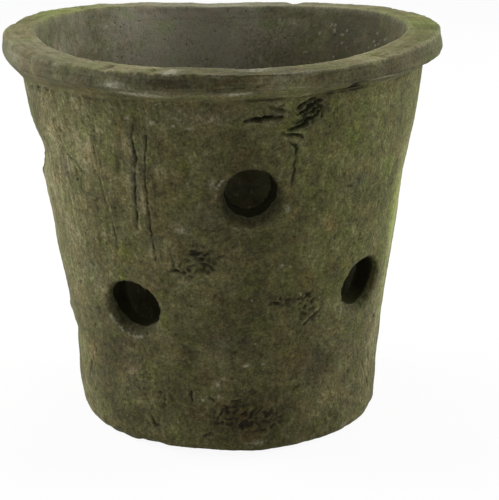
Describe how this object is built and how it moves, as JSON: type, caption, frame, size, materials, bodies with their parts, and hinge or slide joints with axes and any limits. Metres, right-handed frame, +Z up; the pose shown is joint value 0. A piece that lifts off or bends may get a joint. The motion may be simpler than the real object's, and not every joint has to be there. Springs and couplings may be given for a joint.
{
  "type": "orchid pot",
  "caption": "Small round clay orchid pot: tapered wall with air holes through it, thick rim band, floor with a drain hole, aged and mossy.",
  "frame": {"origin": "centre of the underside, on the surface that the pot stands on", "axes": "+Z up along the pot's axis; -Y is the side of the front high air hole, +X is the pot's right as seen from there"},
  "size_m": [0.148, 0.148, 0.133],
  "materials": {
    "aged_clay_wall": "matte, porous, mossy olive brown with khaki and dark stains",
    "aged_clay_rim": "matte, porous, worn khaki grey with green moss",
    "aged_clay_floor": "matte, porous, dark damp grey brown"
  },
  "bodies": {
    "root": {"wall": "aged_clay_wall", "rim_band": "aged_clay_rim", "floor_slab": "aged_clay_floor"}
  },
  "joints": []
}
